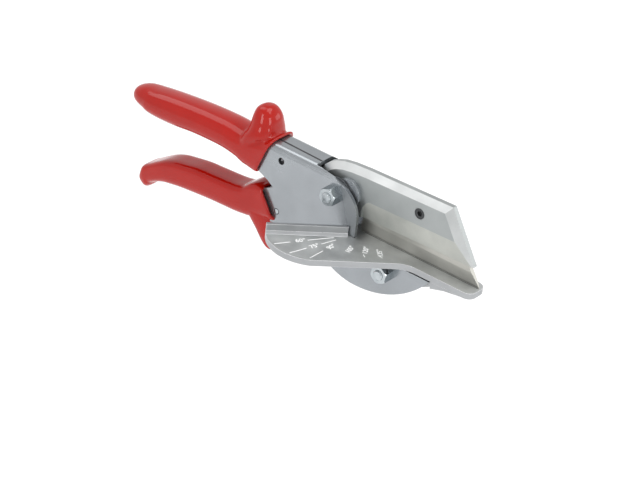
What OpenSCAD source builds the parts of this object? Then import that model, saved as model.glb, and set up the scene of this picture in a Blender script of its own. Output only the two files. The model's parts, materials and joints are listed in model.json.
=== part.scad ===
// Mitre shears: two crossing sheet-steel levers on one pivot. The upper lever carries
// a cast mitre table as the anvil, the lower lever carries the blade above it.
// Lengths are in millimetres. Inside the modules the pivot is at zero, +X points to the
// tip along the cutting edge, -Y is the side of the table's wing and +Z is up.
// The finished part is shifted so that the hang hole through the channel is at zero.

/* [Sheet levers] */
// Thickness of the pressed sheet of both levers
sheet = 2; // [1.6:0.1:2.4]
// Height of the upper channel's back above the pivot
back_z = 9; // [8.5:0.1:11]
// Outer bend radius of the upper channel's back
bend_r = 4; // [2.6:0.1:5]
// Where the channel's back ends in front, behind the pivot
back_end = 13; // [12.5:0.1:18]
// Radius of the upper cheek's nose round the pivot
cheek_nose_r = 16.2; // [14:0.1:18]
// Length of the upper lever's tang behind the pivot
upper_tang = 108; // [98:1:110]
// Length of the lower lever's tang behind the pivot
lower_tang = 96; // [88:1:98]
// Half the width of the upper lever's tang, drawn in behind the grip's mouth
tang_half = 6.4; // [5.6:0.1:6.8]
// Slope of the coined front margin of the upper cheeks, in degrees
margin_turn = 4; // [2:0.5:7]
// Radius of the lower lever's rounded front end
lever_nose_r = 6.8; // [6:0.1:8]

/* [Hang hole] */
// Diameter of the hang hole through both cheeks
hang_d = 3.5; // [2.5:0.1:5]
// Distance of the hang hole behind the pivot
hang_back = 31.6; // [26:0.1:33]
// Height of the hang hole above the pivot
hang_up = 3; // [0:0.1:4]

/* [Pivot and bolts] */
// Thread diameter of the pivot bolt and the anvil bolt
bolt_d = 5; // [4:0.1:6]
// Width of the nuts and bolt heads across their flats
nut_af = 8; // [7:0.1:10]
// Height of a nut
nut_h = 5.6; // [4:0.1:6.5]
// Height of a bolt head
head_h = 3.5; // [2.5:0.1:4.5]
// How far a bolt's end stands out of its nut
bolt_end = 0.8; // [0.4:0.1:2]
// Clearance of a bolt in its hole, on the diameter
bolt_play = 0.2; // [0.1:0.05:0.4]
// Wall of the pivot bush
bush_wall = 1; // [0.8:0.1:1.4]
// Running clearance on the bush, on the radius
bush_play = 0.05; // [0.02:0.01:0.09]
// Outer diameter of the thrust washers
washer_d = 15; // [12:0.5:16]
// Thickness of a thrust washer
washer_t = 0.8; // [0.5:0.1:1.2]
// Running clearance beside each thrust washer
side_play = 0.1; // [0.05:0.05:0.2]

/* [Mitre table] */
// Depth of the cutting plane below the pivot
table_drop = 16.9; // [16:0.1:18]
// Thickness of the table
table_t = 3; // [2.4:0.1:3.4]
// Half the width of the table's front strip
strip_half = 7.8; // [7:0.1:8.6]
// How far the strip reaches to the far side at its tip
strip_far = 4.6; // [3.8:0.1:6]
// Reach of the table's tip in front of the pivot
tip_reach = 79.4; // [78.4:0.1:84]
// Corner radius of the tip
tip_r = 4; // [3:0.5:4.5]
// Where the fence's plane meets the blade's plane, in front of the pivot
apex_x = 19.9; // [19:0.1:22]
// Width of the wing, square to its fence
wing_w = 22.6; // [20:0.1:22.8]
// Radius of the hollow curve from the wing's front edge to the strip
wing_hollow_r = 12; // [8:0.5:16]
// Radius of the wing's rounded end
wing_end_r = 21.8; // [20:0.1:25]
// Where the wing's rounded end has its centre, along the fence from the apex
wing_end_at = 28.4; // [24:0.1:30]
// Distance of that centre from the fence's face
wing_end_in = 1.1; // [0:0.1:4]
// Height of the fence above the table
fence_h = 4.4; // [3:0.1:6]
// Thickness of the fence
fence_t = 1.8; // [1.4:0.1:2.6]
// Width of the bevel in the corner between the fence and the table
fence_foot = 1.2; // [0.6:0.1:2]
// Diameter of the dowel that keeps the casting from turning on its bolt
dowel_d = 4; // [3:0.1:5]
// Anvil bolt in front of the pivot
anvil_bolt_x = 33.4; // [30:0.1:38]
// Anvil bolt below the pivot
anvil_bolt_drop = 25.5; // [25:0.1:28]
// Width of an engraved scale line
line_w = 0.5; // [0.3:0.1:0.8]
// Depth of an engraved scale line
line_depth = 0.3; // [0.2:0.1:0.5]

/* [Blade and carrier] */
// Thickness of the blade carrier
carrier_t = 6.4; // [6:0.1:7.4]
// Clearance between the carrier's tail and the channel's back, over the travel
tail_gap = 0.55; // [0.4:0.05:1]
// Height of the carrier's crest above the pivot, at its front
crest_z = 16.7; // [15.5:0.1:18]
// Width of the flat crest between the chamfers
crest_w = 2.4; // [1:0.1:3]
// Height of the chamfer along the crest
chamfer_h = 3.4; // [2.5:0.1:4.4]
// Width of the chamfer along the front edge
chamfer_front = 4.1; // [3:0.1:5]
// Height of the carrier's tapered flanks
flank_h = 9.4; // [8:0.1:10]
// Height of the blade below the carrier, at its heel
blade_out = 8; // [7.5:0.1:9]
// How much more of the blade shows at the carrier's front
foot_rise = 1.6; // [1:0.1:3]
// Thickness of the blade
blade_t = 2.2; // [1.6:0.1:2.6]
// Thickness of the carrier's lip beside the blade
lip_t = 0.5; // [0.4:0.1:0.9]
// Height of the ground bevel's last band at the edge
edge_h = 1.1; // [0.6:0.1:1.6]
// Reach of the blade's front end in front of the pivot, at the cutting edge
blade_reach = 78.6; // [74:0.1:80]
// Clearance of the blade in its slot, all over
slot_play = 0.1; // [0.05:0.05:0.2]
// Gap left between the cutting edge and the table
edge_gap = 0.05; // [0.03:0.01:0.15]
// Thread diameter of the blade screw
screw_d = 4; // [3:0.1:4.2]
// Diameter of the blade screw's head
screw_head_d = 5.2; // [4.6:0.1:6]
// Width of the hexagon socket in the blade screw, across its flats
socket_af = 2.5; // [2:0.1:3]
// Diameter of the carrier rivets
rivet_d = 4; // [3:0.1:4.5]
// Clearance of rivets and pins in their holes, on the diameter
rivet_play = 0.04; // [0.02:0.01:0.08]

/* [Opening spring] */
// Diameter of the spring's wire
wire_d = 1.1; // [0.9:0.05:1.2]
// Diameter of the pin that carries the spring's coil
spring_pin_d = 3; // [2.5:0.1:3.4]
// Gap between the pin and the coil, on the radius
coil_play = 0.3; // [0.2:0.05:0.5]
// Turns of the coil
coil_turns = 3; // [2:1:3]
// Gap between neighbouring turns of the coil
coil_gap = 0.45; // [0.42:0.01:0.5]

/* [Closing buffer] */
// Length of the rubber buffer along the channel
buffer_len = 8; // [5:0.5:10]
// Gap between the buffer and the closed lower lever
buffer_gap = 0.4; // [0.3:0.1:1]

/* [Grips] */
// Wall of the dipped sleeves over the sheet
grip_wall = 2.4; // [2:0.1:3.2]
// Height of the thumb horn's top above the pivot
horn_z = 24.7; // [22:0.1:28]

/* [Hidden] */
$fn = 64;
// Overshoot of a cutting body past the face that it opens
over = 1;
// Reach of a cutting body that has to pass the whole tool
far = 200;
lever_half = carrier_t / 2 + sheet;
cheek_in = lever_half + side_play + washer_t;
cheek_out = cheek_in + sheet;
bush_bore = bolt_d + bolt_play;
bush_d = bush_bore + 2 * bush_wall;
lever_bore = bush_d + 2 * bush_play;
// Small gap beside the cheeks where the casting passes them
cast_gap = 0.15;
jaw_gap = 0.5;
table_top = -table_drop;
table_low = table_top - table_t;
jaw_top = table_low - jaw_gap;
nose_c = [-2.4, -9.6];
cheek_front = nose_c[0] + cheek_nose_r + 0.2;
// The jaw's lower edge is two arcs, which meet at its lowest point
jaw_low = [17.5, -40.4];
heel_r = 33;
jaw_r = 49;
heel_c = jaw_low + [0, heel_r];
jaw_c = jaw_low + [0, jaw_r];
jaw_turn = asin((jaw_top - jaw_c[1]) / jaw_r);
jaw_end = jaw_c[0] + jaw_r * cos(jaw_turn);
anvil_spot = [anvil_bolt_x, -anvil_bolt_drop];
dowel_spot = [9, -26.5];
// Rear edge of the table between the cheeks
root_x = 8;
hang_spot = [-hang_back, hang_up];
// The scale's lines meet here. Each stretch has its angle, its start and its end.
scale_c = [apex_x - cheek_out, -cheek_out];
scale_lines = [[120, 8, 20.8], [120, 29.2, 37], [105, 8, 16.3], [105, 24.5, 34], [90, 19.9, 29.2]];
// Line on the upper cheek where its coined front margin begins
margin_a = [6.2, -3];
margin_b = [9.4, -11.8];
// Where the upper tang is drawn in, from the grip's mouth to its full depth
neck_a = -43;
neck_b = -58;
// Upper and lower edge of the upper tang, from its end to the grip's mouth
tang_top = [[-upper_tang, 1.8], [-89, 4.2], [-62, 4.9], [-52, 6.2], [neck_a, back_z]];
tang_foot = [[-38, -9.8], [-45, -6.8], [-52, -5.6], [-62, -4.6], [-86, -4.4], [-upper_tang, -5]];
lever_nose_c = [5, 1.4];
// Upper edge of the lower lever's arm, from its rounded front end to the grip
arm_front = lever_nose_c + lever_nose_r * [cos(120), sin(120)];
arm_back = [-42, -17];
// Lower edge of the lower lever's tang, from its end to the arm
web_line = [[-lower_tang, -37.4], [-81, -36.2], [-50, -35]];
function web_low(x) = lookup(x, web_line);
arm_slope = (arm_front[1] - arm_back[1]) / (arm_front[0] - arm_back[0]);
rivet_spots = [[-10.5, -6], [-17.5, -10.8]];
spring_spot = [-33.2, -25.4];
screw_spot = [43.7, 7.2];
screw_head_h = 1.5;
tail_r = norm([back_end, back_z - sheet]) - tail_gap;
edge_z = table_top + edge_gap;
foot_a = [12, table_top + blade_out];
foot_b = [74.8, foot_a[1] + foot_rise];
foot_turn = atan2(foot_rise, foot_b[0] - foot_a[0]);
crest_a = [12.4, crest_z - 1.5];
crest_b = [59.5, crest_z];
front_turn = atan2(foot_b[1] - crest_b[1], foot_b[0] - crest_b[0]);
slot_t = blade_t + 2 * slot_play;
wire_sides = 8;
coil_r = spring_pin_d / 2 + coil_play + wire_d / 2;
coil_step = wire_d + coil_gap;
upper_leg_end = [-25, back_z - sheet - wire_d / 2 - 0.1];
lower_leg_end = [-54, web_low(-54) + sheet + wire_d / 2 + 0.1];

// Shifts a sub-part from the pivot's frame to the hang hole's.
module placed() translate([hang_back, 0, -hang_up]) children();

// Extrudes an outline drawn in X and Z by w, across the middle plane.
module across(w) rotate([90, 0, 0]) linear_extrude(w, center = true) children();

// A round bar across the levers.
module bar(d, w, at = [0, 0])
    translate([at[0], 0, at[1]]) rotate([90, 0, 0]) cylinder(d = d, h = w, center = true);

// Extrudes an outline drawn in Y and Z along X, from x = 0.
module along(l) rotate([90, 0, 90]) linear_extrude(l) children();

// Points along an arc from one angle to another.
function arc(c, r, from, to, n = 8) =
    [for (i = [0:n]) let (a = from + (to - from) * i / n) c + r * [cos(a), sin(a)]];

// A long bar along X whose two upper edges are round.
module channel_bar(half, top, r) {
    translate([-far, 0, 0]) along(2 * far) polygon(concat([[half, -far]],
        arc([half - r, top - r], r, 0, 90), arc([r - half, top - r], r, 90, 180), [[-half, -far]]));
}

// One ring of a grip: a round or, with a high p, squarish hoop between two points of the middle plane.
function ring(top, low, half_w, p = 2.6, n = 24) =
    [for (i = [0:n - 1])
        let (a = 360 * i / n,
             y = half_w * sign(cos(a)) * pow(abs(cos(a)), 2 / p),
             at = (top + low) / 2 + (top - low) / 2 * sign(sin(a)) * pow(abs(sin(a)), 2 / p))
        [at[0], y, at[1]]];

// One level ring of a horn or a guard, at height z.
function level_ring(x, z, half_x, half_y, n = 16) =
    [for (i = [0:n - 1]) let (a = 360 * i / n) [x + half_x * cos(a), half_y * sin(a), z]];

// A closed skin through rings of points, with a flat cap at each end.
module loft(rings) {
    n = len(rings[0]);
    m = len(rings);
    sides = [for (j = [0:m - 2]) for (i = [0:n - 1])
        let (k = (i + 1) % n, a = j * n, b = a + n)
        each [[a + i, b + k, a + k], [a + i, b + i, b + k]]];
    first = [for (i = [1:n - 2]) [0, i, i + 1]];
    last = [for (i = [1:n - 2]) (m - 1) * n * [1, 1, 1] + [0, i + 1, i]];
    polyhedron(points = [for (r = rings) each r], faces = concat(sides, first, last));
}

// Hexagon bar across the levers, from y = 0 towards -Y, with chamfered corners at its far end.
module hexagon(af, h, turn) {
    rotate([90, 0, 0]) intersection() {
        rotate([0, 0, turn]) cylinder(d = af / cos(30), h = h, $fn = 6);
        cylinder(r1 = af, r2 = af / 2 + 0.15, h = h);
    }
}

// Upper lever's side outline: the tang, the nose, the heel and the jaw.
module upper_outline() {
    polygon(concat(tang_top, [[-back_end, back_z], [nose_c[0], nose_c[1] + cheek_nose_r + 0.6]],
        arc(nose_c, cheek_nose_r, 70, 0, 14), [[cheek_front, jaw_top]], arc(jaw_c, jaw_r, jaw_turn, -90, 14),
        arc(heel_c, heel_r, -93.3, -123.3, 9), tang_foot));
}

// The upper lever's width from above, drawn in by d: full in front and narrower along the tang.
module upper_plan(d) {
    w = tang_half - d;
    full = cheek_out - d;
    translate([0, 0, -far]) linear_extrude(2 * far) polygon([[-far, -w], [neck_b, -w], [neck_a, -full],
        [far, -full], [far, full], [neck_a, full], [neck_b, w], [-far, w]]);
}

// The upper lever before it is hollowed, which is also the inside of its grip.
module upper_blank() {
    intersection() {
        across(2 * cheek_out) upper_outline();
        channel_bar(cheek_out, back_z, bend_r);
        upper_plan(0);
    }
}

// What the coined front margin takes off each upper cheek.
module margin_cut() {
    d = margin_b - margin_a;
    for (s = [0, 1]) mirror([0, s, 0]) translate([margin_a[0], -cheek_out, margin_a[1]])
        rotate([0, -atan2(d[1], d[0]), 0]) rotate([-margin_turn, 0, 0])
            translate([-12, -sheet, 0]) cube([31, sheet, 12]);
}

// Upper lever: bright pressed channel, open below, whose cheeks run on to the jaw.
module upper_frame() {
    hollow = concat([tang_top[0] - [over, sheet]], [for (p = tang_top) p - [0, sheet]],
        [[far, back_z - sheet], [far, -far], [-upper_tang - over, -far]]);
    color("silver") placed() difference() {
        upper_blank();
        intersection() {
            across(2 * cheek_in) polygon(hollow);
            channel_bar(cheek_in, back_z - sheet, bend_r - sheet);
            upper_plan(sheet);
        }
        margin_cut();
        translate([-back_end, -cheek_in, -far]) cube([far, 2 * cheek_in, 2 * far]);
        bar(bush_bore, 2 * cheek_out + over);
        bar(bolt_d + bolt_play, 2 * cheek_out + over, anvil_spot);
        bar(dowel_d + rivet_play, 2 * cheek_out + over, dowel_spot);
        bar(hang_d, 2 * cheek_out + over, hang_spot);
    }
}

// Closing buffer: black rubber block in the channel's mouth, over the lower lever's arm.
module closing_buffer() {
    front = -tail_r / 2;
    back = -back_end - buffer_len;
    top = back_z - sheet;
    gap = arm_front + [0, buffer_gap / cos(atan(arm_slope))];
    color("black") placed() intersection() {
        channel_bar(cheek_in, top, bend_r - sheet);
        across(2 * cheek_in) difference() {
            polygon([[front, top], [back, top], [back, gap[1] + arm_slope * (back - gap[0])],
                [front, gap[1] + arm_slope * (front - gap[0])]]);
            circle(tail_r + tail_gap);
        }
    }
}

// Upper grip: red dipped sleeve over the upper tang, with a thumb horn near its mouth.
module upper_grip() {
    w = cheek_out + grip_wall;
    top = back_z + grip_wall;
    sleeve = [ring([-126.8, -2], [-126.6, -5.2], 2.4), ring([-125.8, 1.3], [-125.3, -5.6], 4.6),
        ring([-123.2, 2.8], [-122.6, -6.4], 6.6), ring([-118, 3.9], [-117.8, -7.5], 8.1),
        ring([-112.5, 4.6], [-112.4, -8.4], 8.9), ring([-105, 5.5], [-105, -8.6], 9.4),
        ring([-97, 6.4], [-97, -8.2], 9.5), ring([-86, 7.3], [-86, -7], 9.6),
        ring([-76, 7.8], [-76.3, -6.6], 9.7), ring([-67.5, 7.9], [-68.2, -6.7], 9.9),
        ring([-58.6, 7.9], [-60, -7.7], w - 0.3, 2.8), ring([-51.2, 8.8], [-53.8, -9.1], w - 0.1, 3.4),
        ring([-44, 10], [-48.4, -8.9], w, 4), ring([-39.2, top], [-44.4, -7.6], w, 4.4)];
    rise = horn_z - top;
    horn = [level_ring(-47.4, top - 4, 8.2, 8.4), level_ring(-47.4, top - 0.5, 7.9, 7.8),
        level_ring(-47.3, top + rise * 0.25, 7.3, 7), level_ring(-47.1, top + rise * 0.5, 6.5, 6.2),
        level_ring(-46.7, top + rise * 0.75, 5.2, 5), level_ring(-46.2, top + rise * 0.92, 3.5, 3.6),
        level_ring(-46, horn_z, 1.3, 1.5)];
    color("firebrick") placed() difference() {
        union() {
            loft(sleeve);
            loft(horn);
        }
        upper_blank();
    }
}

// Puts children in the fence's frame: x along the fence away from the apex, y into the wing.
module fence_frame() translate([apex_x, 0, 0]) rotate([0, 0, 225]) children();

// A point of the fence's frame as a point of the table, seen from above.
function on_table(p) = [apex_x, 0] + [cos(225) * p[0] - sin(225) * p[1], sin(225) * p[0] + cos(225) * p[1]];

// The table seen from above: its root, the strip with the round tip, the hollow curve and the wing.
module table_plan() {
    start = cheek_front + cast_gap;
    tip = tip_reach - tip_r;
    reach = wing_hollow_r * tan(22.5);
    corner = [apex_x + wing_w * sqrt(2) - strip_half, -strip_half];
    wing_end = arc([wing_end_at, wing_end_in], wing_end_r, asin((wing_w - wing_end_in) / wing_end_r),
        -asin((fence_t + wing_end_in) / wing_end_r), 20);
    polygon(concat([[root_x, -cheek_in], [root_x, cheek_in], [start, cheek_in], [start, strip_half],
        [jaw_end, strip_half]], arc([tip, strip_far - tip_r], tip_r, 80, 0),
        arc([tip, tip_r - strip_half], tip_r, 0, -90),
        arc(corner + [reach, -wing_hollow_r], wing_hollow_r, 90, 135), [for (p = wing_end) on_table(p)],
        [[apex_x - fence_t * sqrt(2) - cheek_in, -cheek_in]]));
}

// Mitre anvil: light alloy casting with the table, its fence and the web between the cheeks.
module mitre_anvil() {
    web = [[root_x, table_low + over], [60, table_low + over], [60, -22], [33, -35.8],
           [24, -38.7], [12, -38.7], [3.2, -33], [3.2, table_low - 1.8]];
    rib = [[jaw_end + jaw_gap, table_low + over], [74, table_low + over], [75, table_low - 0.1], [65, -21.5],
           [jaw_end + jaw_gap, -23.7]];
    rib_in = 0.3;
    side = cheek_out + cast_gap;
    color("gainsboro") placed() difference() {
        union() {
            intersection() {
                translate([0, 0, table_low]) linear_extrude(far) table_plan();
                union() {
                    translate([-far, -far, table_low - over]) cube([2 * far, 2 * far, table_t + over]);
                    fence_frame() translate([side * sqrt(2) + over, 0, table_top]) along(far)
                        polygon([[-fence_t - over, -over], [fence_foot + over, -over], [0, fence_foot],
                            [0, fence_h], [-fence_t - over, fence_h]]);
                }
            }
            across(2 * cheek_in) polygon(web);
            translate([0, (strip_far - strip_half) / 2, 0])
                across(strip_half + strip_far - 2 * rib_in) polygon(rib);
        }
        difference() {
            translate([-far, -side, -far]) cube([far + cheek_front + cast_gap, 2 * side, 2 * far]);
            translate([-far, -cheek_in, -far]) cube([2 * far, 2 * cheek_in, 2 * far]);
        }
        bar(bolt_d + bolt_play, 2 * cheek_in + over, anvil_spot);
        bar(dowel_d + rivet_play, 2 * cheek_in + over, dowel_spot);
        for (l = scale_lines)
            translate([scale_c[0], scale_c[1], table_top - line_depth]) rotate([0, 0, -l[0]])
                translate([l[1], -line_w / 2, 0]) cube([l[2] - l[1], line_w, over]);
    }
}

// A hexagon bolt across the cheeks, with its head on the far side.
module cross_bolt(at, turn) {
    l = 2 * cheek_out + nut_h + bolt_end;
    translate([at[0], cheek_out, at[1]]) {
        rotate([90, 0, 0]) cylinder(d = bolt_d, h = l - 0.5);
        translate([0, 0.5 - l, 0]) rotate([90, 0, 0]) cylinder(d1 = bolt_d, d2 = bolt_d - 1, h = 0.5);
        mirror([0, 1, 0]) hexagon(nut_af, head_h, turn);
    }
}

// A hexagon nut on the near cheek.
module cross_nut(at, turn) {
    difference() {
        translate([at[0], -cheek_out, at[1]]) hexagon(nut_af, nut_h, turn);
        bar(bolt_d + rivet_play, far, at);
    }
}

module anvil_bolt() color("lightslategray") placed() cross_bolt(anvil_spot, 10);
module anvil_nut() color("lightslategray") placed() cross_nut(anvil_spot, 23.7);
module anvil_dowel() color("gray") placed() bar(dowel_d, 2 * cheek_out, dowel_spot);
module pivot_bolt() color("lightslategray") placed() cross_bolt([0, 0], 40);
module pivot_nut() color("lightslategray") placed() cross_nut([0, 0], 17.4);

// Pivot bush: hard steel sleeve that the bolt clamps between the cheeks.
module pivot_bush() {
    color("gray") placed() difference() {
        bar(bush_d, 2 * cheek_in);
        bar(bush_bore, 2 * cheek_in + over);
    }
}

// Thrust washers: one thin ring inside each upper cheek.
module thrust_washers() {
    color("lightgray") placed() for (s = [-1, 1]) {
        translate([0, s * (cheek_in - washer_t / 2), 0]) difference() {
            bar(washer_d, washer_t);
            bar(bush_d + rivet_play, washer_t + over);
        }
    }
}

// Lower lever's side outline: the rounded front end, the arm and the tang.
module lower_outline() {
    polygon(concat(arc(lever_nose_c, lever_nose_r, -60, 120, 24), [arm_back, [-55, -23], [-73, -25.8],
        [-lower_tang, -28.8]], web_line, [[-33, -31.6], [-20, -27.4], [-9, -17.6]]));
}

module lower_blank() across(2 * lever_half) lower_outline();

// Lower lever: channel between the upper cheeks, open above, with its web inside the grip.
module lower_frame() {
    front = [-46, web_low(-46) + sheet];
    gap = concat([[-lower_tang - over, far], web_line[0] - [over, -sheet]],
        [for (p = web_line) p + [0, sheet]], [front, [front[0], -far], [far, -far], [far, far]]);
    color("darkgray") placed() difference() {
        lower_blank();
        across(carrier_t) polygon(gap);
        bar(lever_bore, 2 * lever_half + over);
        for (at = rivet_spots) bar(rivet_d + rivet_play, 2 * lever_half + over, at);
        bar(spring_pin_d + rivet_play, 2 * lever_half + over, spring_spot);
    }
}

// Lower grip: red dipped sleeve over the lower tang, with a finger guard and a hooked end.
module lower_grip() {
    w = lever_half + grip_wall;
    sleeve = [ring([-117.8, -45.6], [-114.8, -48.2], w - 4), ring([-117.9, -43.4], [-112.5, -47.7], w - 1.9),
        ring([-117.1, -40], [-111.1, -46.1], w - 0.6), ring([-115.2, -36.6], [-109.8, -44.4], w - 0.2),
        ring([-111.7, -33.9], [-107.7, -43.1], w, 3), ring([-107.5, -31.2], [-105.1, -41.9], w, 3.4),
        ring([-102.8, -28.5], [-101.7, -40.8], w, 3.4), ring([-97.5, -26.5], [-97, -40], w, 3.4),
        ring([-91, -25.2], [-91, -39.1], w, 3.4), ring([-83, -23.9], [-82.1, -38.3], w, 3.4),
        ring([-75, -23.4], [-73.6, -37.6], w, 3.4), ring([-66.9, -22.9], [-65.2, -37.2], w, 3.4),
        ring([-58.5, -22], [-54.3, -36.8], w, 3.4), ring([-50.5, -17.9], [-45.5, -33.9], w, 4),
        ring([-43.4, -16], [-33.8, -30.8], w, 4.4)];
    guard = [level_ring(-41.5, -32, 7.4, w), level_ring(-40.9, -36.5, 6.9, w - 0.2),
        level_ring(-39.9, -39, 5.3, w - 0.8), level_ring(-38.9, -42, 3.9, w - 1.6),
        level_ring(-38.2, -45, 2.7, w - 2.6), level_ring(-37.3, -48, 1.4, w - 4.4),
        level_ring(-36.9, -49.2, 0.6, w - 6)];
    color("firebrick") placed() difference() {
        union() {
            loft(sleeve);
            loft([for (i = [len(guard) - 1:-1:0]) guard[i]]);
        }
        lower_blank();
    }
}

// What lies outside a sloping line in Y and Z through two points, on both sides of the middle plane.
module outside_slope(l, low, high) {
    d = (high - low) / norm(high - low);
    p = low - over * d;
    q = high + over * d;
    for (s = [0, 1]) mirror([0, s, 0]) along(l) polygon([p, q, [far, q[1]], [far, p[1]]]);
}

// A convex outline drawn in: h[i] is how far, behind the edge from point i to the next.
function drawn_in(p, h) = [for (i = [0:len(p) - 1])
    let (n = len(p), before = (i + n - 1) % n, a = p[i] - p[before], b = p[(i + 1) % n] - p[i],
         u = [a[1], -a[0]] / norm(a), v = [b[1], -b[0]] / norm(b), d = u[0] * v[1] - u[1] * v[0])
    p[i] + [h[before] * v[1] - h[i] * u[1], h[i] * u[0] - h[before] * v[0]] / d];

// The blade's side outline, grown by g: the tang in the slot and the part that shows.
module blade_outline(g) {
    front = [cos(front_turn), sin(front_turn)];
    polygon([[12 - g, edge_z], [blade_reach + g, edge_z], [blade_reach - 1 + g, edge_z + 1.8],
        foot_b - [2.6, 0.8] + [g, 0], crest_b - [4.4, 0] + front * 8 + [g, g], [20 - g, 8.7 + g], [15 - g, 4],
        [12 - g, foot_a[1] - 4]]);
}

// Blade carrier: forged plate with a chamfered crest and flanks that taper to the blade.
module blade_carrier() {
    t = carrier_t / 2;
    tail = arc([0, 0], tail_r, 215, 148, 7);
    rise = [[-9, 10.4], [-5.5, 12.3], [-1.5, 13.7], [4, 14.6]];
    // From behind the pivot over the crest to the front and back along the foot
    outline = concat(tail, rise, [crest_a, crest_b, foot_b, foot_a, [0, -0.7 * tail_r]]);
    chamfers = concat([for (p = concat(tail, rise)) chamfer_h], [chamfer_h, chamfer_front, 0, 0, 0]);
    lip = slot_t / 2 + lip_t;
    flank_top = foot_a[1] + flank_h + over;
    run_r = 7;
    run_x = 12.6;
    color("lightsteelblue") placed() difference() {
        union() {
            loft([for (y = [-t, -crest_w / 2, crest_w / 2, t])
                [for (p = abs(y) < t ? outline : drawn_in(outline, chamfers)) [p[0], y, p[1]]]]);
            across(carrier_t) polygon([[-6, 2], [-24.4, -8.9], [-18, -17.9], [2, -9]]);
        }
        intersection() {
            translate([foot_a[0], 0, foot_a[1]]) rotate([0, -foot_turn, 0]) translate([-20, 0, 0])
                outside_slope(far, [lip, 0], [carrier_t / 2, flank_h]);
            across(far) polygon(concat([[run_x, -far]],
                arc([run_x + run_r, flank_top - run_r], run_r, 180, 90),
                [[run_x + run_r, far], [far, far], [far, -far]]));
        }
        across(slot_t) blade_outline(slot_play);
        bar(lever_bore, carrier_t + over);
        bar(screw_d + bolt_play, carrier_t + over, screw_spot);
        translate([0, -carrier_t / 2, 0]) bar(screw_head_d + bolt_play, 2 * screw_head_h, screw_spot);
        for (at = rivet_spots) bar(rivet_d + rivet_play, carrier_t + over, at);
    }
}

// Blade: flat ground steel, thinned to its edge in a tall bevel and a short last band.
module blade() {
    h = blade_t / 2;
    edge_half = 0.05;
    band = 0.4;
    tall = blade_out - 1.5;
    color("tan") placed() difference() {
        across(blade_t) blade_outline(0);
        translate([0, 0, edge_z]) for (s = [0, 1]) mirror([0, s, 0])
            along(far) polygon([[edge_half, -over], [edge_half, 0], [band, edge_h], [h, tall],
                [h + over, tall], [h + over, -over]]);
        bar(screw_d + bolt_play, carrier_t, screw_spot);
    }
}

// Blade screw: black socket screw, sunk in the near side and threaded into the far side.
module blade_screw() {
    t = carrier_t / 2;
    color("dimgray") placed() translate([screw_spot[0], -t, screw_spot[1]]) rotate([-90, 0, 0]) difference() {
        union() {
            cylinder(d = screw_head_d, h = screw_head_h);
            cylinder(d = screw_d, h = carrier_t);
        }
        translate([0, 0, -over]) cylinder(d = socket_af / cos(30), h = over + 1.8, $fn = 6);
    }
}

// Carrier rivets: two flush rivets that fix the carrier between the lower lever's cheeks.
module carrier_rivets() color("gray") placed() for (at = rivet_spots) bar(rivet_d, 2 * lever_half, at);

// Spring pin: flush pin through the lower lever, inside the spring's coil.
module spring_pin() color("whitesmoke") placed() bar(spring_pin_d, 2 * lever_half, spring_spot);

// Opening spring: one wire, from the lower channel's web round the pin to the upper channel's back.
module opening_spring() {
    in_dir = atan2(spring_spot[1] - coil_r - lower_leg_end[1], spring_spot[0] - lower_leg_end[0]);
    out_dir = atan2(upper_leg_end[1] - spring_spot[1], upper_leg_end[0] - spring_spot[0] - coil_r);
    from = in_dir - 90;
    sweep = out_dir - 90 - from + 360 * coil_turns;
    turn = 12;
    steps = turn * coil_turns;
    half = coil_step * sweep / 720;
    helix = [for (i = [0:steps]) let (a = from + sweep * i / steps)
        [spring_spot[0] + coil_r * cos(a), 2 * half * i / steps - half, spring_spot[1] + coil_r * sin(a)]];
    // Least gap between points of the wire that lie more than half a turn apart
    echo(spring_gap = min([for (i = [0:steps - turn / 2 - 1]) for (j = [i + turn / 2 + 1:steps])
        norm(helix[i] - helix[j]) - wire_d]));
    path = concat([[lower_leg_end[0], -half, lower_leg_end[1]]], helix,
                  [[upper_leg_end[0], half, upper_leg_end[1]]]);
    last = len(path) - 1;
    rings = [for (i = [0:last])
        let (d = path[min(i + 1, last)] - path[max(i - 1, 0)],
             t = d / norm(d),
             u = cross(t, [0, 1, 0]) / norm(cross(t, [0, 1, 0])),
             v = cross(t, u))
        [for (k = [0:wire_sides - 1]) let (a = 360 * k / wire_sides)
            path[i] + wire_d / 2 * (cos(a) * u + sin(a) * v)]];
    color("darkslategray") placed() loft(rings);
}

upper_frame();
upper_grip();
closing_buffer();
mitre_anvil();
anvil_bolt();
anvil_nut();
anvil_dowel();
pivot_bolt();
pivot_nut();
pivot_bush();
thrust_washers();
lower_frame();
lower_grip();
blade_carrier();
blade();
blade_screw();
carrier_rivets();
spring_pin();
opening_spring();
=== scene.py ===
# Mitre shears with two crossing levers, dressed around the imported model.
# Places are given in millimetres from the pivot: x to the blade's tip, -y to the table's wing, z up.
import json

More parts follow.
